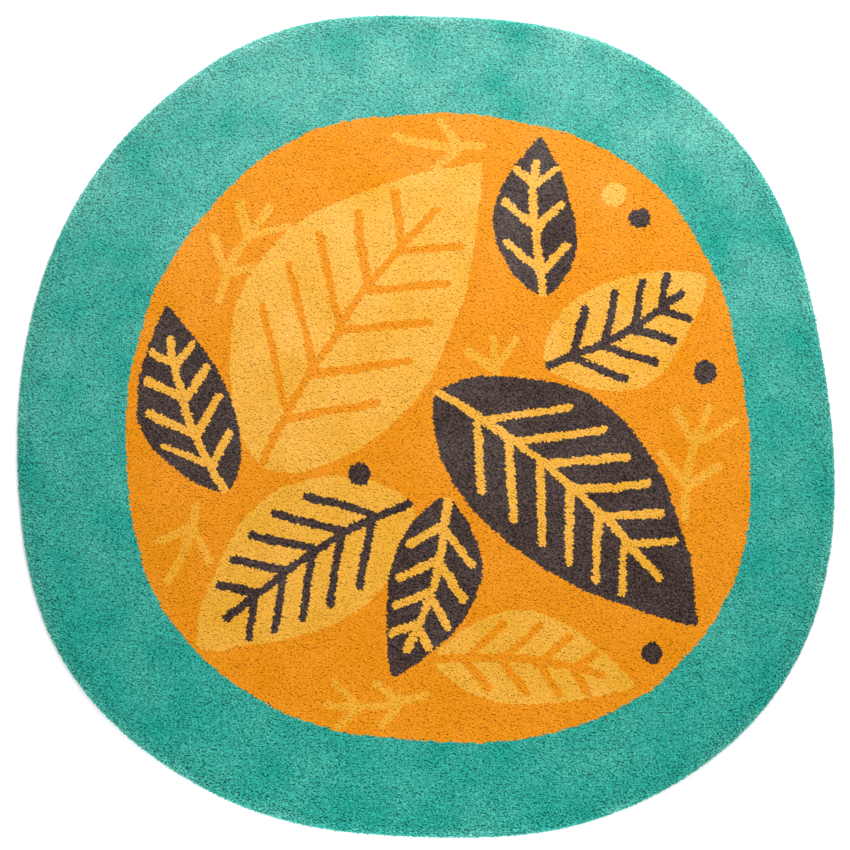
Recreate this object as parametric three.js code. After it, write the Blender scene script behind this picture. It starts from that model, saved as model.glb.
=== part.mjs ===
// A tufted rug with a cut pile, lying flat on a floor.
// Millimetres, +Z up. The origin is on the floor, under the middle of the rug.
// The rug is one piece: yarn tufted through a cloth, so cloth and pile are one slab.
// Its outline is a rounded, hand-drawn shape and its side bulges where the pile leans out.
// Its shoulder is round, and its top has the soft unevenness of a pile that is walked on.

import * as THREE from 'three';

// Driving dimensions
const MEAN_RADIUS = 563;
const THICKNESS = 13;
const CLOTH_THICKNESS = 2.5;
const SHOULDER_WIDTH = 13;

// How finely the solid is cut
const STEPS_ROUND = 180;
const TOP_RINGS = 9;

const PILE_COLOUR = 0x3ea394;

// The outline is a circle that swells a number of times on its way round.
// swell is how far it reaches past the mean radius at its crests, and bearing is where one crest is.
// Bearings are in degrees from +X towards +Y.
const lobes = [
  { crests: 1, swell: 7, bearing: 287 },
  { crests: 2, swell: 4, bearing: 107 },
  { crests: 3, swell: 9, bearing: 83 },
  { crests: 4, swell: 13, bearing: 45 },
  { crests: 5, swell: 2, bearing: 46 },
  { crests: 6, swell: 1.5, bearing: 45 },
  { crests: 7, swell: 1, bearing: 7 },
  { crests: 8, swell: 1.5, bearing: 23 },
  { crests: 10, swell: 1, bearing: 34 },
];

// The edge in section, from the floor up. inset is how far the side stands in from the outline.
// The cloth is trimmed just under the pile, and the outermost tufts lean out over it.
const edgeSection = [
  { height: 0, inset: 4 },
  { height: CLOTH_THICKNESS, inset: 2.5 },
  { height: 0.5 * THICKNESS, inset: 0 },
  { height: 0.78 * THICKNESS, inset: 0.12 * SHOULDER_WIDTH },
  { height: 0.93 * THICKNESS, inset: 0.45 * SHOULDER_WIDTH },
  { height: THICKNESS, inset: SHOULDER_WIDTH },
];

// The top rises and falls in long, low waves. height is a crest's, length runs from crest to crest,
// bearing is the way the wave runs and shift is where in its turn it passes the centre, in degrees.
const waves = [
  { height: 0.45, length: 290, bearing: 12, shift: 75 },
  { height: 0.35, length: 380, bearing: 104, shift: 0 },
  { height: 0.3, length: 235, bearing: 63, shift: 200 },
  { height: 0.25, length: 170, bearing: 151, shift: 40 },
];

// How far the outline lies from the centre of its circle at a bearing
function reachAt(bearing) {
  let reach = MEAN_RADIUS;
  for (const lobe of lobes) {
    reach += lobe.swell * Math.cos(THREE.MathUtils.degToRad(lobe.crests * (bearing - lobe.bearing)));
  }
  return reach;
}

// A closed ring of points at one height, a stated inset inside the outline
function ringAt(inset, height) {
  const ring = [];
  for (let step = 0; step < STEPS_ROUND; step += 1) {
    const bearing = (360 * step) / STEPS_ROUND;
    const angle = THREE.MathUtils.degToRad(bearing);
    const radius = reachAt(bearing) - inset;
    ring.push(new THREE.Vector3(radius * Math.cos(angle), radius * Math.sin(angle), height));
  }
  return ring;
}

// How far the top stands above or below its mean height at a point
function lumpAt(point) {
  let lump = 0;
  for (const wave of waves) {
    const bearing = THREE.MathUtils.degToRad(wave.bearing);
    const along = point.x * Math.cos(bearing) + point.y * Math.sin(bearing);
    const turn = THREE.MathUtils.degToRad((360 * along) / wave.length + wave.shift);
    lump += wave.height * Math.sin(turn);
  }
  return lump;
}

// The rings of the top, each a smaller copy of the shoulder's last ring
function topRings(shoulderRing) {
  const rings = [];
  for (let count = 1; count < TOP_RINGS; count += 1) {
    const share = 1 - count / TOP_RINGS;
    const ring = shoulderRing.map((point) => {
      const inner = new THREE.Vector3(share * point.x, share * point.y, THICKNESS);
      inner.z += lumpAt(inner);
      return inner;
    });
    rings.push(ring);
  }
  return rings;
}

// One closed skin over a stack of rings, from a point under the first to a point over the last
function closedSkin(rings, lowestPoint, highestPoint) {
  const points = [...rings.flat(), lowestPoint, highestPoint];
  const lowest = points.length - 2;
  const highest = points.length - 1;
  const lastRing = (rings.length - 1) * STEPS_ROUND;
  const triangles = [];
  for (let step = 0; step < STEPS_ROUND; step += 1) {
    const next = (step + 1) % STEPS_ROUND;
    triangles.push(lowest, next, step);
    triangles.push(highest, lastRing + step, lastRing + next);
    for (let start = 0; start < lastRing; start += STEPS_ROUND) {
      const above = start + STEPS_ROUND;
      triangles.push(start + step, start + next, above + next);
      triangles.push(start + step, above + next, above + step);
    }
  }
  const geometry = new THREE.BufferGeometry().setFromPoints(points);
  geometry.setIndex(triangles);
  return geometry;
}

function rugGeometry() {
  const edgeRings = edgeSection.map((row) => ringAt(row.inset, row.height));
  const rings = [...edgeRings, ...topRings(edgeRings.at(-1))];
  const underMiddle = new THREE.Vector3(0, 0, 0);
  const topMiddle = new THREE.Vector3(0, 0, THICKNESS + lumpAt(underMiddle));
  const geometry = closedSkin(rings, underMiddle, topMiddle);

  // The lobes swell the outline more on one side, so the middle of its box is brought to the origin
  geometry.computeBoundingBox();
  const middle = geometry.boundingBox.getCenter(new THREE.Vector3());
  geometry.translate(-middle.x, -middle.y, 0);
  geometry.computeVertexNormals();
  return geometry;
}

const pile = new THREE.MeshStandardMaterial({ color: PILE_COLOUR, roughness: 0.95, metalness: 0 });
const rug = new THREE.Mesh(rugGeometry(), pile);
rug.name = 'rug';

const group = new THREE.Group();
group.add(rug);

export default group;
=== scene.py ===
"""The looks of a tufted rug: a cut pile of separate tufts on its cloth, lying flat on a pale floor.

Metres, +Z up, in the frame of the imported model. The rug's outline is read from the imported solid.
A tuft's cut end is a small, low crown near the solid's surface, over a bed of packed yarn.
The yarn colours draw a plain border and a field of leaves, sprigs and berries, tuft by tuft.
"""

import math

import bpy
import numpy as np
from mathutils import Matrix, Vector


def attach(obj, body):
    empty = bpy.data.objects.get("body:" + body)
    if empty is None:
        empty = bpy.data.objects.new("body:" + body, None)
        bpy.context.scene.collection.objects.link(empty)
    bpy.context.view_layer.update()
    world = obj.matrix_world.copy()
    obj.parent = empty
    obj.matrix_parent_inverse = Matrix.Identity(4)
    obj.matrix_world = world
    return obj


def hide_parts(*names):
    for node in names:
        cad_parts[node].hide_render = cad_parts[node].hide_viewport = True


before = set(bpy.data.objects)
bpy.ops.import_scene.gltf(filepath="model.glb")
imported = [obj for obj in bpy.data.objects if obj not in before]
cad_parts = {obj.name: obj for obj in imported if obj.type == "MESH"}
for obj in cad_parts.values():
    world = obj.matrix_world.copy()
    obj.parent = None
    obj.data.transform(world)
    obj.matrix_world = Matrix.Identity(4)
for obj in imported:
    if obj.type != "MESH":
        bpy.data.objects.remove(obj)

BODY = "root"
NODE = "rug"
MM = 0.001
TURN = 2 * math.pi

# The rug in section. The cloth ends a little way inside the outline, and its two edges are eased.
CLOTH_THICKNESS = 2.5 * MM
CLOTH_INSET = 4 * MM
CLOTH_EASED_IN = 0.4 * MM
CLOTH_EASED_UP = 0.3 * MM
PILE_TOP = 13 * MM

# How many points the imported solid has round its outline, and how many steps the cloth and its area take
SOLID_STEPS = 180
CLOTH_STEPS = 360

# Where the tufts stand. The jitter is how far a tuft may be out of its place, as a share of the pitch.
TUFT_PITCH = 2.52 * MM
TUFT_JITTER = 0.3
TUFT_SEED = 7

# A tuft shows as a crown: a low cone of yarn from its tip out to a ring of corners.
# The crowns are longer than they are wide, and all lie about the same way, in degrees from +X.
CROWN_SIDES = 5
CROWN_RADIUS = 2.1 * MM
CROWN_STRETCH = 1.15
CROWN_BEARING = -25
CROWN_HEIGHT = 1.7 * MM
CROWN_UNEVENNESS = 0.45 * MM
CROWN_SIZE_SPREAD = 0.1
CORNER_SPREAD = 0.12
TUFT_POINTS = 1 + CROWN_SIDES

# How far a tuft's tip is out of its place: each by itself, and together in soft patches of two sizes.
# The patches lean the tips less towards the rim, down to a share of their lean.
HEIGHT_SPREAD = 0.25 * MM
RANDOM_LEAN = 0.5 * MM
NAP_LEAN = 1.0 * MM
NAP_PATCHES = {"x": {"cell": 55 * MM, "seed": 11}, "y": {"cell": 90 * MM, "seed": 12}}
CALM_DEPTH = 25 * MM
CALMEST = 0.3

# How high in the pile a point counts for its colour, where a tuft's tip is 1. The lower a point counts, the
# more painted shade it gets: the crowns' rings some, the bed nearly all.
RING_RISE = 0.2
BED_RISE = 0.05

# The bed is the packed yarn that shows between the crowns. Its rings follow the outline, and the first
# few climb the side. Then come two parts of the top, and each runs inwards between two shares of the
# outline's reach, in so many steps round. A patch is one flat piece of it between two rings.
BED_DEPTH = 2.4 * MM
PATCH_CORNERS = 4
BED_EDGE = [
    {"depth": 4.0 * MM, "height": 2.4 * MM},
    {"depth": 2.5 * MM, "height": 4.2 * MM},
    {"depth": 2.2 * MM, "height": 6.4 * MM},
    {"depth": 3.2 * MM, "height": 8.2 * MM},
    {"depth": 5.6 * MM, "height": 9.6 * MM},
]
BED_PARTS = [
    {"starts": 0.978, "ends": 0.500, "rings": 36, "steps": 540, "edge": BED_EDGE},
    {"starts": 0.500, "ends": 0.004, "rings": 36, "steps": 270, "edge": []},
]

# How the pile turns over at the rim. root is how deep inside the outline a tuft stands,
# tip is how deep inside its end lies, and drop is how far the end is below the pile's top.
RIM = [
    {"root": 4.0 * MM, "tip": 0.9 * MM, "drop": 8.6 * MM},
    {"root": 5.2 * MM, "tip": 0.6 * MM, "drop": 6.4 * MM},
    {"root": 6.8 * MM, "tip": 1.4 * MM, "drop": 4.2 * MM},
    {"root": 9.0 * MM, "tip": 3.6 * MM, "drop": 2.3 * MM},
    {"root": 13.0 * MM, "tip": 8.8 * MM, "drop": 0.8 * MM},
    {"root": 20.0 * MM, "tip": 18.4 * MM, "drop": 0.1 * MM},
    {"root": 30.0 * MM, "tip": 30.0 * MM, "drop": 0.0 * MM},
]

# How deep inside the outline the rows of tufts lie that follow it, and where the field's rows begin
RIM_ROWS = [4.0 * MM, 5.2 * MM, 6.4 * MM, 7.6 * MM]
FIELD_STARTS = 8.7 * MM

# The crowns are smaller at the rim and square to their tufts. From a stated depth they are nearly level.
RIM_CROWN_SIZE = 0.8
LEVEL_DEPTH = 18 * MM

# How deep inside the outline the painted rim light ends, which makes the yarn paler towards the rim
PAINTED_RIM_LIGHT_DEPTH = 15 * MM

# The low waves of the pile's top, as in the solid. Lengths run from crest to crest, angles are degrees.
# They begin at a stated depth inside the outline, and are whole a stated way further in.
WAVES = [
    {"height": 0.45 * MM, "length": 290 * MM, "bearing": 12, "shift": 75},
    {"height": 0.35 * MM, "length": 380 * MM, "bearing": 104, "shift": 0},
    {"height": 0.30 * MM, "length": 235 * MM, "bearing": 63, "shift": 200},
    {"height": 0.25 * MM, "length": 170 * MM, "bearing": 151, "shift": 40},
]
WAVES_START = 12 * MM
WAVES_GROW = 60 * MM

# The yarns. tip is the linear colour at a tuft's cut end, and the deep colour is a darker linear one that is
# painted down in the pile as shade. spread is how much the tufts differ in brightness. The fuzz value is how
# much white lies over the colour, partly the yarn's fuzz and partly painted sheen. slot is the record's name
# for the yarn, and pieces is how many pieces its pile is cut into.
YARNS = {
    "teal": {"tip": (0.000, 0.348, 0.272), "deep_painted_shade": (0.000, 0.085, 0.066), "spread": 0.20, "fuzz_and_painted_sheen": 0.084,
             "sheen": 0.3, "slot": "teal_yarn", "pieces": 3},
    "orange": {"tip": (0.600, 0.229, 0.000), "deep_painted_shade": (0.510, 0.150, 0.000), "spread": 0.04, "fuzz_and_painted_sheen": 0.021,
               "sheen": 0.0, "slot": "orange_yarn", "pieces": 2},
    "pale": {"tip": (0.605, 0.306, 0.014), "deep_painted_shade": (0.545, 0.218, 0.010), "spread": 0.04, "fuzz_and_painted_sheen": 0.040,
             "sheen": 0.0, "slot": "pale_orange_yarn", "pieces": 1},
    "yellow": {"tip": (0.600, 0.315, 0.016), "deep_painted_shade": (0.540, 0.235, 0.012), "spread": 0.03, "fuzz_and_painted_sheen": 0.066,
               "sheen": 0.0, "slot": "yellow_yarn", "pieces": 1},
    "charcoal": {"tip": (0.060, 0.032, 0.026), "deep_painted_shade": (0.000, 0.000, 0.000), "spread": 0.50, "fuzz_and_painted_sheen": 0.040,
                 "sheen": 0.0, "slot": "charcoal_yarn", "pieces": 1},
}
YARN_NAMES = list(YARNS)

# How the yarn's brightness goes from the low to the high end of each thing that changes it.
# The nap's soft patches are painted shade, and the rim's brightening is painted light.
NAP_PAINTED_SHADE = (0.96, 1.04)
FIBRE_BRIGHTNESS = (0.8, 1.2)
RIM_PAINTED_LIGHT = (1, 1.32)

# The same for the white fuzz, which is partly the yarn's fuzz and partly painted sheen. It is painted darker
# down in the pile, paler at the rim and patchy with the nap, and towards the rug's far side an even veil of
# painted light is added.
TINT_FUZZ = (0.4, 1.6)
FIBRE_FUZZ = (0.4, 1.6)
RISE_PAINTED_SHADE = (0.25, 1.25)
RIM_PAINTED_SHEEN = (0.55, 1.65)
FAR_SIDE_PAINTED_LIGHT = (0, 1.15)
NAP_PAINTED_SHEEN = (0.1, 0.9)

# The yarn's texture. Scales are in cells to the metre.
NAP_SCALE = 14
NAP_DETAIL = 4
FIBRE_SCALE = 700
FIBRE_BUMP_SCALE = 1800
FIBRE_BUMP_STRENGTH = 0.5
FIBRE_BUMP_DEPTH = 0.3 * MM
YARN_SPECULAR = 0.1
SHEEN_ROUGHNESS = 0.4

# The backing cloth, with its linear colours between the threads, darker there as painted shade, and on them
CLOTH_GAP_PAINTED_SHADE = (0.420, 0.360, 0.270)
CLOTH_THREAD_COLOUR = (0.616, 0.528, 0.396)
WEAVE_SCALE = 130
WEAVE_DISTORTION = 0.6
WEAVE_DETAIL_SCALE = 30
WEAVE_BUMP_STRENGTH = 0.6
WEAVE_BUMP_DEPTH = 0.4 * MM
BLOTCH_SCALE = 40
BLOTCH_BRIGHTNESS = (0.85, 1.15)

# Every material here is matt, and a noise texture's values lie mostly in one range
ROUGHNESS = 0.9
NOISE_RANGE = (0.25, 0.75)

# Each tuft and patch of bed has a square of the texture, with a margin that is a share of its side
SQUARE_MARGIN = 0.04

# The design. The field is the outline made smaller, round a middle of its own, and the motifs' places are
# metres from that middle. tilt is the way a leaf or sprig points, in degrees from +X, and bend is how far
# its rib bows sideways, as a share of its length.
FIELD_SCALE = 0.7625
FIELD_MIDDLE = (17.5 * MM, -3 * MM)
STROKE_WIDTH = 11 * MM
LEAVES = [
    {"x": -0.092, "y": 0.152, "length": 0.500, "width": 0.280, "tilt": 54, "bend": 0.05,
     "yarn": "yellow", "rib": "orange", "pairs": 5},
    {"x": 0.172, "y": -0.105, "length": 0.470, "width": 0.225, "tilt": -42, "bend": 0.05,
     "yarn": "charcoal", "rib": "yellow", "pairs": 6},
    {"x": -0.182, "y": -0.195, "length": 0.350, "width": 0.195, "tilt": 214, "bend": -0.05,
     "yarn": "yellow", "rib": "charcoal", "pairs": 5},
    {"x": 0.250, "y": 0.146, "length": 0.250, "width": 0.145, "tilt": 30, "bend": -0.06,
     "yarn": "yellow", "rib": "charcoal", "pairs": 4},
    {"x": -0.325, "y": 0.040, "length": 0.260, "width": 0.125, "tilt": 108, "bend": 0.07,
     "yarn": "charcoal", "rib": "yellow", "pairs": 4},
    {"x": 0.138, "y": 0.285, "length": 0.215, "width": 0.110, "tilt": 92, "bend": 0.05,
     "yarn": "charcoal", "rib": "yellow", "pairs": 3},
    {"x": -0.024, "y": -0.212, "length": 0.250, "width": 0.118, "tilt": 253, "bend": 0.06,
     "yarn": "charcoal", "rib": "yellow", "pairs": 4},
    {"x": 0.128, "y": -0.325, "length": 0.270, "width": 0.125, "tilt": -8, "bend": 0.06,
     "yarn": "yellow", "rib": "orange", "pairs": 4},
]
SPRIGS = [
    {"x": -0.262, "y": 0.235, "length": 0.140, "tilt": 62, "bend": 0.06, "pairs": 2, "twig": 0.050},
    {"x": 0.345, "y": -0.045, "length": 0.150, "tilt": 78, "bend": 0.06, "pairs": 2, "twig": 0.055},
    {"x": -0.085, "y": -0.362, "length": 0.130, "tilt": 186, "bend": 0.06, "pairs": 2, "twig": 0.042},
    {"x": 0.085, "y": 0.060, "length": 0.120, "tilt": 105, "bend": 0.06, "pairs": 2, "twig": 0.045},
    {"x": -0.345, "y": -0.155, "length": 0.110, "tilt": 250, "bend": 0.06, "pairs": 1, "twig": 0.050},
    {"x": 0.000, "y": 0.385, "length": 0.110, "tilt": 172, "bend": 0.06, "pairs": 1, "twig": 0.042},
]
BERRIES = [
    {"x": -0.105, "y": -0.062, "radius": 0.015, "yarn": "charcoal"},
    {"x": 0.235, "y": 0.315, "radius": 0.016, "yarn": "yellow"},
    {"x": 0.268, "y": 0.282, "radius": 0.014, "yarn": "charcoal"},
    {"x": 0.355, "y": 0.075, "radius": 0.016, "yarn": "charcoal"},
    {"x": 0.285, "y": -0.300, "radius": 0.015, "yarn": "charcoal"},
]

# A leaf's shape: where along it, from 0 to 1, it is widest, and how pointed its ends are
LEAF_WIDEST_AT = 0.42
LEAF_POINTEDNESS = 0.85

# A leaf's rib and veins, in shares of its length from its middle. The slant is in degrees from the rib.
# A vein grows step by step, until it has come a share of the way to the leaf's edge.
RIB_STARTS = -0.5
RIB_ENDS = 0.33
FIRST_VEIN = -0.34
LAST_VEIN = 0.20
VEIN_STAGGER = 0.02
VEIN_SLANT = 48
VEIN_REACH = 0.74
VEIN_STEP = 2 * MM

# A sprig's twigs: the first pair's place and the step to the next are shares of the sprig's length,
# and each twig runs these shares of its own length along and across.
FIRST_TWIG = -0.25
TWIG_STEP = 0.42
TWIG_ALONG = 0.7
TWIG_ACROSS = 0.72

# How the design's edges waver, in X and in Y. size is the furthest shift, and cell the waver's length.
WAVERS = [
    {"size": 2.6 * MM, "cell": 60 * MM, "seeds": (21, 22)},
    {"size": 1.2 * MM, "cell": 14 * MM, "seeds": (23, 24)},
]

# How many random values a smooth random field has each way before it repeats
NOISE_CELLS = 64

# The photograph: its frame in pixels, the rug's width in it and where the rug's middle lies.
# Then the rug's width in metres, the camera's height above the pile and its sensor's width in millimetres.
PHOTO_SIDE_PX = 850
RUG_WIDTH_PX = 820
RUG_MIDDLE_PX = (426.0, 426.5)
RUG_WIDTH = 1.097
CAMERA_HEIGHT = 4.0
SENSOR_WIDTH = 36.0

# The studio
FLOOR_SIDE = 30
FLOOR_COLOUR = (0.93, 0.93, 0.93, 1)
SKY_COLOUR = (1, 1, 1, 1)
SKY_STRENGTH = 0.70
LAMPS = [
    {"name": "far_lamp", "place": (0.30, 1.10, 1.45), "target": (0.05, 0.4, 0), "size": (2.0, 0.9),
     "power": 48},
    {"name": "near_lamp", "place": (-0.1, -1.15, 0.38), "target": (0, -0.35, 0), "size": (1.2, 0.25),
     "power": 8.5},
]

random = np.random.default_rng(TUFT_SEED)


# The outline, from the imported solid

def outline_from_solid(node):
    """The bearing and reach of the solid's widest ring, one point for each step round it."""
    points = np.array([vertex.co[:2] for vertex in node.data.vertices])
    bearing = np.arctan2(points[:, 1], points[:, 0]) % TURN
    reach = np.hypot(points[:, 0], points[:, 1])
    step = (bearing / TURN * SOLID_STEPS).round().astype(int) % SOLID_STEPS
    order = np.lexsort((-reach, step))
    firsts = order[np.unique(step[order], return_index=True)[1]]
    firsts = firsts[np.argsort(bearing[firsts])]
    return bearing[firsts], reach[firsts]


OUTLINE = outline_from_solid(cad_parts[NODE])


def reach_at(bearing):
    return np.interp(bearing % TURN, *OUTLINE, period=TURN)


def depth_inside(x, y):
    """How deep inside the outline a point lies."""
    return reach_at(np.arctan2(y, x)) - np.hypot(x, y)


# The design, yarn by yarn

def drawn_by_hand(x, y):
    """The same points, shifted a little, so that every edge in the design wavers."""
    shift_x, shift_y = (
        sum(row["size"] * soft_noise(x, y, row["cell"], row["seeds"][axis]) for row in WAVERS)
        for axis in (0, 1)
    )
    return x + shift_x, y + shift_y


def along_motif(x, y, motif):
    """A point's place along a motif and off its bowed rib, from the motif's middle."""
    tilt = math.radians(motif["tilt"])
    dx, dy = x - motif["x"], y - motif["y"]
    along = dx * math.cos(tilt) + dy * math.sin(tilt)
    across = dy * math.cos(tilt) - dx * math.sin(tilt)
    share = np.clip(along / motif["length"] + 0.5, 0, 1)
    bow = motif["bend"] * motif["length"] * np.sin(math.pi * share)
    return along, across - bow


def leaf_half_width(along, leaf):
    share = np.clip(along / leaf["length"] + 0.5, 0, 1)
    skew = math.log(0.5) / math.log(LEAF_WIDEST_AT)
    return leaf["width"] / 2 * np.sin(math.pi * share ** skew) ** LEAF_POINTEDNESS


def on_stroke(along, across, start, end):
    """Whether points lie on a round-ended stroke of yarn."""
    (ax, ay), (bx, by) = start, end
    dx, dy = bx - ax, by - ay
    share = np.clip(((along - ax) * dx + (across - ay) * dy) / (dx * dx + dy * dy), 0, 1)
    return np.hypot(along - ax - share * dx, across - ay - share * dy) < STROKE_WIDTH / 2


def vein_run(start, slant, leaf):
    """How far a side vein runs from the rib before it nears the leaf's edge."""
    run = VEIN_STEP
    while run * math.sin(slant) < VEIN_REACH * leaf_half_width(start + run * math.cos(slant), leaf):
        run += VEIN_STEP
    return run


def vein_strokes(leaf):
    """A leaf's rib and its side veins."""
    length = leaf["length"]
    slant = math.radians(VEIN_SLANT)
    strokes = [((RIB_STARTS * length, 0), (RIB_ENDS * length, 0))]
    for root in np.linspace(FIRST_VEIN * length, LAST_VEIN * length, leaf["pairs"]):
        for side, stagger in ((1, 0), (-1, -VEIN_STAGGER * length)):
            start = root + stagger
            run = vein_run(start, slant, leaf)
            strokes.append(((start, 0), (start + run * math.cos(slant), side * run * math.sin(slant))))
    return strokes


def twig_strokes(sprig):
    """A sprig's stem and its pairs of short twigs."""
    length, twig = sprig["length"], sprig["twig"]
    strokes = [((-length / 2, 0), (length / 2, 0))]
    for pair in range(sprig["pairs"]):
        root = (FIRST_TWIG + TWIG_STEP * pair) * length
        for side in (1, -1):
            strokes.append(((root, 0), (root + TWIG_ALONG * twig, side * TWIG_ACROSS * twig)))
    return strokes


def strokes_cover(along, across, strokes):
    covered = np.zeros(along.shape, bool)
    for start, end in strokes:
        covered |= on_stroke(along, across, start, end)
    return covered


def yarn_at(x, y):
    """The index of the yarn that the design gives each point."""
    x, y = drawn_by_hand(x - FIELD_MIDDLE[0], y - FIELD_MIDDLE[1])
    yarn = np.full(x.shape, YARN_NAMES.index("orange"))
    for sprig in SPRIGS:
        along, across = along_motif(x, y, sprig)
        yarn[strokes_cover(along, across, twig_strokes(sprig))] = YARN_NAMES.index("pale")
    for leaf in LEAVES:
        along, across = along_motif(x, y, leaf)
        inside = (abs(along) < leaf["length"] / 2) & (abs(across) < leaf_half_width(along, leaf))
        yarn[inside] = YARN_NAMES.index(leaf["yarn"])
        yarn[inside & strokes_cover(along, across, vein_strokes(leaf))] = YARN_NAMES.index(leaf["rib"])
    for berry in BERRIES:
        inside = np.hypot(x - berry["x"], y - berry["y"]) < berry["radius"]
        yarn[inside] = YARN_NAMES.index(berry["yarn"])
    yarn[depth_inside(x / FIELD_SCALE, y / FIELD_SCALE) < 0] = YARN_NAMES.index("teal")
    return yarn


# Where the tufts stand and lean

def soft_noise(x, y, cell, seed):
    """A smooth random field from -1 to 1, with one random value for each cell."""
    values = np.random.default_rng(seed).uniform(-1, 1, (NOISE_CELLS, NOISE_CELLS))
    middle = NOISE_CELLS // 2
    u, v = x / cell + middle, y / cell + middle
    i, j = np.floor(u).astype(int), np.floor(v).astype(int)
    s, t = u - i, v - j
    s, t = s * s * (3 - 2 * s), t * t * (3 - 2 * t)
    i, j = i % (NOISE_CELLS - 1), j % (NOISE_CELLS - 1)
    low = values[i, j] * (1 - s) + values[i + 1, j] * s
    high = values[i, j + 1] * (1 - s) + values[i + 1, j + 1] * s
    return low * (1 - t) + high * t


def field_roots():
    """The tufts' roots in rows, every other row half a pitch along, each a little out of place."""
    row_pitch = TUFT_PITCH * math.sqrt(3) / 2
    half = OUTLINE[1].max() + TUFT_PITCH
    rows = np.arange(-half, half, row_pitch)
    places = np.arange(-half, half, TUFT_PITCH)
    x, y = np.meshgrid(places, rows)
    x = x + (np.arange(len(rows)) % 2)[:, None] * TUFT_PITCH / 2
    x = (x + random.uniform(-1, 1, x.shape) * TUFT_JITTER * TUFT_PITCH).ravel()
    y = (y + random.uniform(-1, 1, y.shape) * TUFT_JITTER * TUFT_PITCH).ravel()
    inside = depth_inside(x, y) > FIELD_STARTS
    return x[inside], y[inside]


def rim_roots(depth):
    """The roots of one row of tufts that follows the outline."""
    length = TURN * (OUTLINE[1].mean() - depth)
    count = round(length / TUFT_PITCH)
    bearing = (np.arange(count) + random.uniform(-TUFT_JITTER, TUFT_JITTER, count)) / count * TURN
    reach = reach_at(bearing) - depth + random.uniform(-1, 1, count) * TUFT_JITTER * TUFT_PITCH / 2
    return reach * np.cos(bearing), reach * np.sin(bearing)


def wave_height(x, y):
    """How far the low waves lift the pile's top at each point."""
    height = np.zeros(x.shape)
    for wave in WAVES:
        bearing = math.radians(wave["bearing"])
        along = x * math.cos(bearing) + y * math.sin(bearing)
        height += wave["height"] * np.sin(TURN * along / wave["length"] + math.radians(wave["shift"]))
    return height


def pile_top(x, y, depth):
    """The height of the pile's top, whose waves begin a little way inside the rim."""
    return PILE_TOP + wave_height(x, y) * np.clip((depth - WAVES_START) / WAVES_GROW, 0, 1)


def nap_lean(x, y, patch):
    """How far the nap leans the tips one way at each point, in soft patches."""
    calm = np.clip(depth_inside(x, y) / CALM_DEPTH, CALMEST, 1)
    return calm * NAP_LEAN * soft_noise(x, y, patch["cell"], patch["seed"])


def place_tufts():
    """The root and tip of every tuft, as two arrays of points."""
    rows = [field_roots()] + [rim_roots(depth) for depth in RIM_ROWS]
    x = np.concatenate([row[0] for row in rows])
    y = np.concatenate([row[1] for row in rows])
    count = len(x)
    depth = depth_inside(x, y)
    table = {name: np.array([row[name] for row in RIM]) for name in ("root", "tip", "drop")}
    tip_depth = np.interp(depth, table["root"], table["tip"]) + np.maximum(depth - table["root"][-1], 0)
    drop = np.interp(depth, table["root"], table["drop"])
    outward = (depth - tip_depth) / np.hypot(x, y)
    tip_x = x + outward * x + nap_lean(x, y, NAP_PATCHES["x"]) + RANDOM_LEAN * random.normal(0, 1, count)
    tip_y = y + outward * y + nap_lean(x, y, NAP_PATCHES["y"]) + RANDOM_LEAN * random.normal(0, 1, count)
    tip_z = pile_top(x, y, depth) - drop + HEIGHT_SPREAD * random.normal(0, 1, count)
    root_z = np.full(count, CLOTH_THICKNESS)
    return np.stack([x, y, root_z], 1), np.stack([tip_x, tip_y, tip_z], 1)


# Meshes

def mesh_object(name, points, triangles):
    """A piece of the scene from an array of points and one of each triangle's three points."""
    mesh = bpy.data.meshes.new(name)
    mesh.vertices.add(len(points))
    mesh.vertices.foreach_set("co", points.astype(np.float32).ravel())
    mesh.loops.add(triangles.size)
    mesh.loops.foreach_set("vertex_index", triangles.astype(np.int32).ravel())
    mesh.polygons.add(len(triangles))
    mesh.polygons.foreach_set("loop_start", np.arange(0, triangles.size, 3, dtype=np.int32))
    mesh.update(calc_edges=True)
    mesh.shade_smooth()
    piece = bpy.data.objects.new(name, mesh)
    bpy.context.scene.collection.objects.link(piece)
    return piece


def crown_outline(count):
    """Each crown's ring of corners, as two offsets for each from the tuft's axis."""
    yaw = random.uniform(0, TURN, count)
    size = random.normal(1, CROWN_SIZE_SPREAD, count)
    bearing = math.radians(CROWN_BEARING)
    ring = np.zeros((count, CROWN_SIDES, 2))
    for side in range(CROWN_SIDES):
        angle = yaw + TURN * side / CROWN_SIDES
        radius = CROWN_RADIUS * size * random.normal(1, CORNER_SPREAD, count)
        along = np.cos(angle) * radius * CROWN_STRETCH
        across = np.sin(angle) * radius / CROWN_STRETCH
        ring[:, side, 0] = along * math.cos(bearing) - across * math.sin(bearing)
        ring[:, side, 1] = along * math.sin(bearing) + across * math.cos(bearing)
    return ring


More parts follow.
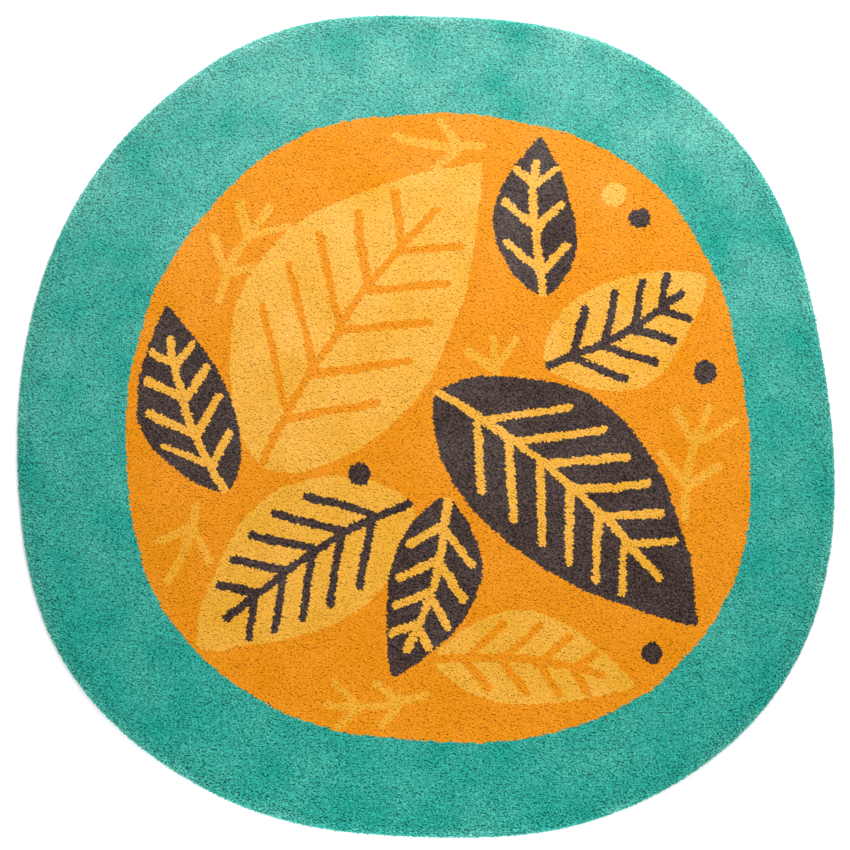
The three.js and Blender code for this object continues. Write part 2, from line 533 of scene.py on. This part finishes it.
def tuft_points(root, tip):
    """Every tuft's points: its tip, then its crown's ring.

    The crowns are small and square to their tufts at the rim, and nearly level where the pile's top is.
    """
    count = len(root)
    depth = depth_inside(root[:, 0], root[:, 1])
    size = np.interp(depth, [RIM_ROWS[0], LEVEL_DEPTH], [RIM_CROWN_SIZE, 1])
    axis = tip - root
    axis /= np.linalg.norm(axis, axis=1)[:, None]
    axis[:, 2] += np.clip(depth / LEVEL_DEPTH, 0, 1)
    axis /= np.linalg.norm(axis, axis=1)[:, None]
    across = np.cross(np.array([0.0, 1.0, 0.0]), axis)
    across /= np.linalg.norm(across, axis=1)[:, None]
    along = np.cross(axis, across)
    ring = crown_outline(count) * size[:, None, None]
    points = np.zeros((count, TUFT_POINTS, 3))
    points[:, 0] = tip
    for side in range(CROWN_SIDES):
        sink = CROWN_HEIGHT + CROWN_UNEVENNESS * random.uniform(-1, 1, count)
        out = ring[:, side, 0, None] * across + ring[:, side, 1, None] * along
        points[:, 1 + side] = tip - axis * sink[:, None] + out
    return points


def tuft_triangles():
    """The triangles of one tuft's crown, all of which meet at its tip."""
    return np.array([(1 + side, 1 + (side + 1) % CROWN_SIDES, 0) for side in range(CROWN_SIDES)])


def tuft_layout():
    """Where one tuft's triangles lie in its square of the texture."""
    angle = np.arange(CROWN_SIDES) * TURN / CROWN_SIDES
    ring = 0.5 + (0.5 - SQUARE_MARGIN) * np.stack([np.cos(angle), np.sin(angle)], 1)
    middle = np.full((CROWN_SIDES, 2), 0.5)
    return np.stack([ring, np.roll(ring, -1, 0), middle], 1).reshape(-1, 2)


def patch_layout():
    """Where the two triangles of one patch of bed lie in its square of the texture."""
    low, high = SQUARE_MARGIN, 1 - SQUARE_MARGIN
    return np.array([(low, low), (high, low), (high, high), (low, low), (high, high), (low, high)])


def outline_ring(bearing, depth, height):
    """A ring of points that follows the outline, so deep inside it."""
    reach = reach_at(bearing) - depth
    return np.stack([reach * np.cos(bearing), reach * np.sin(bearing), height], 1)


def bed_part(part):
    """The patches in one part of the bed, as an array of each patch's corners."""
    steps = part["steps"]
    bearing = np.arange(steps) * TURN / steps
    rings = [outline_ring(bearing, row["depth"], np.full(steps, row["height"])) for row in part["edge"]]
    for share in np.linspace(part["starts"], part["ends"], part["rings"]):
        depth = (1 - share) * reach_at(bearing)
        x, y = share * reach_at(bearing) * np.array([np.cos(bearing), np.sin(bearing)])
        rings.append(outline_ring(bearing, depth, pile_top(x, y, depth) - BED_DEPTH))
    bands = [
        np.stack([outer, np.roll(outer, -1, 0), np.roll(inner, -1, 0), inner], 1)
        for outer, inner in zip(rings, rings[1:])
    ]
    return np.concatenate(bands)


def near_rim(places):
    """How near the outline points lie: 1 on it, 0 inwards from where the painted rim light ends."""
    return np.clip(1 - depth_inside(places[:, 0], places[:, 1]) / PAINTED_RIM_LIGHT_DEPTH, 0, 1)


def add_point_values(piece, name, values):
    """Give every point of a piece a value that its material reads by name."""
    attribute = piece.data.attributes.new(name, "FLOAT", "POINT")
    attribute.data.foreach_set("value", values.astype(np.float32).ravel())


def squares(count, layout, first, columns):
    """A layout repeated in so many squares of a texture, from a first square on."""
    index = np.arange(first, first + count)
    corner = np.stack([index % columns, index // columns], 1)
    return ((corner[:, None, :] + layout[None]) / columns).reshape(-1, 2)


def pile_triangles(tufts, patches):
    """The triangles of so many tufts and, after them, so many patches of bed."""
    first_points = TUFT_POINTS * np.arange(tufts)
    tuft_faces = tuft_triangles()[None] + first_points[:, None, None]
    first_corners = TUFT_POINTS * tufts + PATCH_CORNERS * np.arange(patches)
    patch_faces = np.array([(0, 1, 2), (0, 2, 3)])[None] + first_corners[:, None, None]
    return np.concatenate([tuft_faces.reshape(-1, 3), patch_faces.reshape(-1, 3)])


def add_texture_places(piece, tufts, patches):
    """Lay each tuft and patch in a square of the texture of its own."""
    columns = math.ceil(math.sqrt(tufts + patches))
    uv = np.concatenate([
        squares(tufts, tuft_layout(), 0, columns),
        squares(patches, patch_layout(), tufts, columns),
    ])
    piece.data.uv_layers.new(name="OFBake").data.foreach_set("uv", uv.astype(np.float32).ravel())


def add_colour_values(piece, tip, patches):
    """Give every point its tuft's tint, its rise for the painted shade and its nearness to the rim for the
    painted light.
    """
    tint = np.concatenate([
        np.repeat(random.uniform(0, 1, len(tip)), TUFT_POINTS),
        np.repeat(random.uniform(0, 1, len(patches)), PATCH_CORNERS),
    ])
    painted_shade_rise = np.concatenate([
        np.tile([1.0] + [RING_RISE] * CROWN_SIDES, len(tip)),
        np.full(PATCH_CORNERS * len(patches), BED_RISE),
    ])
    # The mask of the painted rim light: how near each tuft or patch lies to the outline
    painted_rim_light = np.concatenate([
        np.repeat(near_rim(tip), TUFT_POINTS),
        np.repeat(near_rim(patches.mean(1)), PATCH_CORNERS),
    ])
    add_point_values(piece, "tint", tint)
    add_point_values(piece, "painted_shade_rise", painted_shade_rise)
    add_point_values(piece, "painted_rim_light", painted_rim_light)


def pile_piece(name, root, tip, patches, material):
    """A piece of the pile: its tufts and the patches of bed among them."""
    points = np.concatenate([tuft_points(root, tip).reshape(-1, 3), patches.reshape(-1, 3)])
    piece = mesh_object(name, points, pile_triangles(len(root), len(patches)))
    add_texture_places(piece, len(root), len(patches))
    add_colour_values(piece, tip, patches)
    piece.data.materials.append(material)
    return piece


def cloth_piece(material):
    """The cloth that the yarn is tufted through: a thin closed sheet, flat on the floor."""
    section = [
        {"inset": CLOTH_INSET + CLOTH_EASED_IN, "height": 0.0},
        {"inset": CLOTH_INSET, "height": CLOTH_EASED_UP},
        {"inset": CLOTH_INSET, "height": CLOTH_THICKNESS - CLOTH_EASED_UP},
        {"inset": CLOTH_INSET + CLOTH_EASED_IN, "height": CLOTH_THICKNESS},
    ]
    steps = CLOTH_STEPS
    bearing = np.arange(steps) * TURN / steps
    rings = [outline_ring(bearing, row["inset"], np.full(steps, row["height"])) for row in section]
    points = np.concatenate(rings + [np.array([[0, 0, 0], [0, 0, CLOTH_THICKNESS]])])
    this = np.arange(steps)
    following = (this + 1) % steps
    lowest, highest = len(points) - 2, len(points) - 1
    last = (len(rings) - 1) * steps
    triangles = [
        np.stack([np.full(steps, lowest), following, this], 1),
        np.stack([np.full(steps, highest), last + this, last + following], 1),
    ]
    for start in range(0, last, steps):
        above = start + steps
        triangles.append(np.stack([start + this, start + following, above + following], 1))
        triangles.append(np.stack([start + this, above + following, above + this], 1))
    piece = mesh_object("cloth", points, np.concatenate(triangles))
    piece.data.materials.append(material)
    return piece


# Materials

def new_material(name):
    """A new material, its node tree and its shader."""
    material = bpy.data.materials.new(name)
    material.use_nodes = True
    tree = material.node_tree
    return material, tree, tree.nodes["Principled BSDF"]


def add_node(tree, kind, **settings):
    node = tree.nodes.new(kind)
    for name, value in settings.items():
        setattr(node, name, value)
    return node


def noise(tree, scale, detail=2.0):
    """A noise texture on the piece's own coordinates, with so many cells in a metre, spread from 0 to 1."""
    coordinates = add_node(tree, "ShaderNodeTexCoord")
    texture = add_node(tree, "ShaderNodeTexNoise")
    texture.inputs["Scale"].default_value = scale
    texture.inputs["Detail"].default_value = detail
    tree.links.new(coordinates.outputs["Object"], texture.inputs["Vector"])
    spread = add_node(tree, "ShaderNodeMapRange")
    spread.inputs["From Min"].default_value, spread.inputs["From Max"].default_value = NOISE_RANGE
    tree.links.new(texture.outputs["Fac"], spread.inputs["Value"])
    return spread.outputs["Result"]


def mapped(tree, value, low, high):
    """A value from 0 to 1, brought to lie between low and high."""
    node = add_node(tree, "ShaderNodeMapRange")
    node.inputs["To Min"].default_value = low
    node.inputs["To Max"].default_value = high
    tree.links.new(value, node.inputs["Value"])
    return node.outputs["Result"]


def multiplied(tree, first, second):
    node = add_node(tree, "ShaderNodeMath", operation="MULTIPLY")
    tree.links.new(first, node.inputs[0])
    tree.links.new(second, node.inputs[1])
    return node.outputs[0]


def added(tree, first, second):
    node = add_node(tree, "ShaderNodeMath", operation="ADD")
    tree.links.new(first, node.inputs[0])
    tree.links.new(second, node.inputs[1])
    return node.outputs[0]


def product(tree, values):
    """All the values multiplied together."""
    result = values[0]
    for value in values[1:]:
        result = multiplied(tree, result, value)
    return result


def share_of_width(tree):
    """A value that goes evenly from 0 to 1 across the rug, from its -Y side to its +Y side."""
    coordinates = add_node(tree, "ShaderNodeTexCoord")
    parts = add_node(tree, "ShaderNodeSeparateXYZ")
    tree.links.new(coordinates.outputs["Object"], parts.inputs["Vector"])
    node = add_node(tree, "ShaderNodeMapRange")
    node.inputs["From Min"].default_value = -RUG_WIDTH / 2
    node.inputs["From Max"].default_value = RUG_WIDTH / 2
    tree.links.new(parts.outputs["Y"], node.inputs["Value"])
    return node.outputs["Result"]


def blended(tree, share, first, second):
    """A colour that goes from the first to the second as a share goes from 0 to 1."""
    ramp = add_node(tree, "ShaderNodeValToRGB")
    for element, colour in zip(ramp.color_ramp.elements, (first, second)):
        element.color = (*colour, 1)
    tree.links.new(share, ramp.inputs["Fac"])
    return ramp.outputs["Color"]


def shaded(tree, colour, brightness):
    """A colour made lighter or darker by a value around 1."""
    node = add_node(tree, "ShaderNodeVectorMath", operation="SCALE")
    tree.links.new(colour, node.inputs[0])
    tree.links.new(brightness, node.inputs["Scale"])
    return node.outputs["Vector"]


def attribute_value(tree, name):
    """A value that the piece holds at each point."""
    return add_node(tree, "ShaderNodeAttribute", attribute_name=name).outputs["Fac"]


def add_bump(tree, shader, height, strength, depth):
    """Roughen a shader's surface by a height from 0 to 1."""
    bump = add_node(tree, "ShaderNodeBump")
    bump.inputs["Strength"].default_value = strength
    bump.inputs["Distance"].default_value = depth
    tree.links.new(height, bump.inputs["Height"])
    tree.links.new(bump.outputs["Normal"], shader.inputs["Normal"])


def yarn_material(name, yarn):
    """Matt cut yarn: a tone per tuft, painted shade low down, and white fuzz with painted sheen and light.
    """
    material, tree, shader = new_material(name)
    tint = attribute_value(tree, "tint")
    painted_shade_rise = attribute_value(tree, "painted_shade_rise")
    painted_rim_light = attribute_value(tree, "painted_rim_light")
    nap = noise(tree, NAP_SCALE, NAP_DETAIL)
    fibre = noise(tree, FIBRE_SCALE)
    across = share_of_width(tree)
    brightness = product(tree, [
        mapped(tree, tint, 1 - yarn["spread"], 1 + yarn["spread"]),
        # Painted shade: the nap's soft patches make the yarn a little darker or lighter
        mapped(tree, nap, *NAP_PAINTED_SHADE),
        mapped(tree, fibre, *FIBRE_BRIGHTNESS),
        # Painted light: the yarn is brighter near the rim
        mapped(tree, painted_rim_light, *RIM_PAINTED_LIGHT),
    ])
    # Painted shade: the colour darkens from the tip's colour to the deep one low in the pile and on the bed
    colour_with_painted_shade = blended(tree, painted_shade_rise, yarn["deep_painted_shade"], yarn["tip"])
    grainy_fuzz_and_painted_sheen = product(tree, [
        mapped(tree, tint, *TINT_FUZZ),
        mapped(tree, fibre, *FIBRE_FUZZ),
        # Painted shade on the sheen: less white deep in the pile
        mapped(tree, painted_shade_rise, *RISE_PAINTED_SHADE),
        # Painted light: more white near the rim
        mapped(tree, painted_rim_light, *RIM_PAINTED_SHEEN),
    ])
    # Painted light: an even veil of white that grows towards the rug's far (+Y) side
    far_side_veil_of_painted_light = mapped(tree, multiplied(tree, across, across), *FAR_SIDE_PAINTED_LIGHT)
    # Painted sheen: the white is strongest in the nap's lighter patches
    least_fuzz, most_fuzz = (share * yarn["fuzz_and_painted_sheen"] for share in NAP_PAINTED_SHEEN)
    fuzz_and_painted_sheen = multiplied(tree, added(tree, grainy_fuzz_and_painted_sheen, far_side_veil_of_painted_light), mapped(tree, nap, least_fuzz, most_fuzz))
    colour = add_node(tree, "ShaderNodeVectorMath", operation="ADD")
    tree.links.new(shaded(tree, colour_with_painted_shade, brightness), colour.inputs[0])
    tree.links.new(fuzz_and_painted_sheen, colour.inputs[1])
    tree.links.new(colour.outputs["Vector"], shader.inputs["Base Color"])
    add_bump(tree, shader, noise(tree, FIBRE_BUMP_SCALE), FIBRE_BUMP_STRENGTH, FIBRE_BUMP_DEPTH)
    shader.inputs["Roughness"].default_value = ROUGHNESS
    shader.inputs["Specular IOR Level"].default_value = YARN_SPECULAR
    shader.inputs["Sheen Weight"].default_value = yarn["sheen"]
    shader.inputs["Sheen Roughness"].default_value = SHEEN_ROUGHNESS
    return material


def cloth_material():
    """Plain-woven backing cloth, stiff with glue."""
    material, tree, shader = new_material("backing_cloth")
    coordinates = add_node(tree, "ShaderNodeTexCoord")
    threads = []
    for direction in ("X", "Y"):
        wave = add_node(tree, "ShaderNodeTexWave", wave_type="BANDS", bands_direction=direction)
        wave.inputs["Scale"].default_value = WEAVE_SCALE
        wave.inputs["Distortion"].default_value = WEAVE_DISTORTION
        wave.inputs["Detail Scale"].default_value = WEAVE_DETAIL_SCALE
        tree.links.new(coordinates.outputs["Object"], wave.inputs["Vector"])
        threads.append(wave.outputs["Fac"])
    weave = multiplied(tree, *threads)
    brightness = mapped(tree, noise(tree, BLOTCH_SCALE), *BLOTCH_BRIGHTNESS)
    # Painted shade: the cloth is darker in the gaps between its threads
    threads_with_painted_shade = blended(tree, weave, CLOTH_GAP_PAINTED_SHADE, CLOTH_THREAD_COLOUR)
    tree.links.new(shaded(tree, threads_with_painted_shade, brightness), shader.inputs["Base Color"])
    add_bump(tree, shader, weave, WEAVE_BUMP_STRENGTH, WEAVE_BUMP_DEPTH)
    shader.inputs["Roughness"].default_value = ROUGHNESS
    return material


# The rug's pieces

def left_to_right(members, x, count):
    """Members in order of x, in so many equal shares."""
    return np.array_split(members[np.argsort(x[members], kind="stable")], count)


def build_pile():
    """The tufts and bed of each yarn, cut from left to right into as many pieces as its row says."""
    root, tip = place_tufts()
    patches = np.concatenate([bed_part(part) for part in BED_PARTS])
    middle = patches.mean(1)
    tuft_yarn = yarn_at(root[:, 0], root[:, 1])
    patch_yarn = yarn_at(middle[:, 0], middle[:, 1])
    pieces = []
    for index, (name, row) in enumerate(YARNS.items()):
        material = yarn_material(f"{name}_yarn", row)
        tuft_shares = left_to_right(np.flatnonzero(tuft_yarn == index), root[:, 0], row["pieces"])
        patch_shares = left_to_right(np.flatnonzero(patch_yarn == index), middle[:, 0], row["pieces"])
        for number, (tufts, bed) in enumerate(zip(tuft_shares, patch_shares), start=1):
            piece_name = f"pile_{name}" if row["pieces"] == 1 else f"pile_{name}_{number}"
            piece = pile_piece(piece_name, root[tufts], tip[tufts], patches[bed], material)
            pieces.append(piece)
    return pieces


def build_rug():
    """The cloth and the pile, which take the place of the solid rug and ride on its body."""
    cloth = cloth_piece(cloth_material())
    pile = build_pile()
    for piece in [cloth, *pile]:
        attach(piece, BODY)
        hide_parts(NODE)


# The studio

def build_floor():
    material, _, shader = new_material("floor")
    shader.inputs["Base Color"].default_value = FLOOR_COLOUR
    shader.inputs["Roughness"].default_value = ROUGHNESS
    bpy.ops.mesh.primitive_plane_add(size=FLOOR_SIDE, location=(0, 0, 0))
    floor = bpy.context.object
    floor.name = "floor"
    floor.data.materials.append(material)


def area_light(lamp):
    """An oblong lamp at its place, turned to its target."""
    light = bpy.data.lights.new(lamp["name"], "AREA")
    light.shape = "RECTANGLE"
    light.size, light.size_y = lamp["size"]
    light.energy = lamp["power"]
    holder = bpy.data.objects.new(lamp["name"], light)
    holder.location = lamp["place"]
    view = Vector(lamp["target"]) - Vector(lamp["place"])
    holder.rotation_euler = view.to_track_quat("-Z", "Y").to_euler()
    bpy.context.scene.collection.objects.link(holder)


def build_lights():
    """Soft light from all round, a large lamp past the rug's far side and a small one past its near side."""
    world = bpy.data.worlds.new("studio")
    world.use_nodes = True
    background = world.node_tree.nodes["Background"]
    background.inputs["Color"].default_value = SKY_COLOUR
    background.inputs["Strength"].default_value = SKY_STRENGTH
    bpy.context.scene.world = world
    for lamp in LAMPS:
        area_light(lamp)


def build_camera():
    """Straight above the rug, with the rug's middle where the photograph has it."""
    metres_per_px = RUG_WIDTH / RUG_WIDTH_PX
    frame_width = PHOTO_SIDE_PX * metres_per_px
    frame_middle = PHOTO_SIDE_PX / 2
    x = (frame_middle - RUG_MIDDLE_PX[0]) * metres_per_px
    y = (RUG_MIDDLE_PX[1] - frame_middle) * metres_per_px
    data = bpy.data.cameras.new("camera")
    data.sensor_width = SENSOR_WIDTH
    data.lens = SENSOR_WIDTH * CAMERA_HEIGHT / frame_width
    camera = bpy.data.objects.new("camera", data)
    camera.location = (x, y, PILE_TOP + CAMERA_HEIGHT)
    bpy.context.scene.collection.objects.link(camera)
    bpy.context.scene.camera = camera


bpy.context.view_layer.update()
build_camera()
build_floor()
build_lights()
build_rug()
bpy.context.scene.view_settings.view_transform = "Standard"
